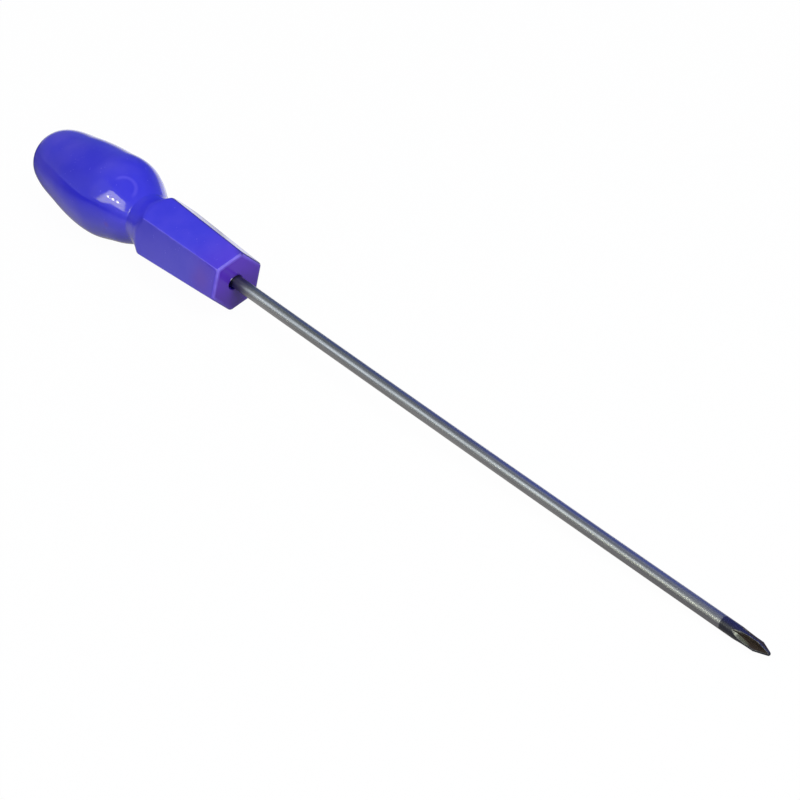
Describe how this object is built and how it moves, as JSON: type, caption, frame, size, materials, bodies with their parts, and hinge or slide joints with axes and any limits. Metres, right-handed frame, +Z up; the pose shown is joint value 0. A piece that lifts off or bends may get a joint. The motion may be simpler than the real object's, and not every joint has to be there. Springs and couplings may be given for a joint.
{
  "type": "cross-head screwdriver",
  "caption": "Long round-shaft cross-head screwdriver with a bulb-shaped plastic handle, a hexagonal neck and a blackened tip.",
  "frame": {"origin": "centre of the bounding box on the surface the tool lies on, with the bulb and the end of the blade both touching that surface", "axes": "+X along the blade towards its tip, +Z up; the tool's own axis points 2.37 degrees below +X"},
  "size_m": [0.3618, 0.0306, 0.0307],
  "materials": {
    "handle_plastic": "glossy moulded, blue-violet",
    "blade_steel": "drawn bar, blackened at the tip"
  },
  "bodies": {
    "root": {"handle": "handle_plastic", "blade": "blade_steel"}
  },
  "joints": []
}
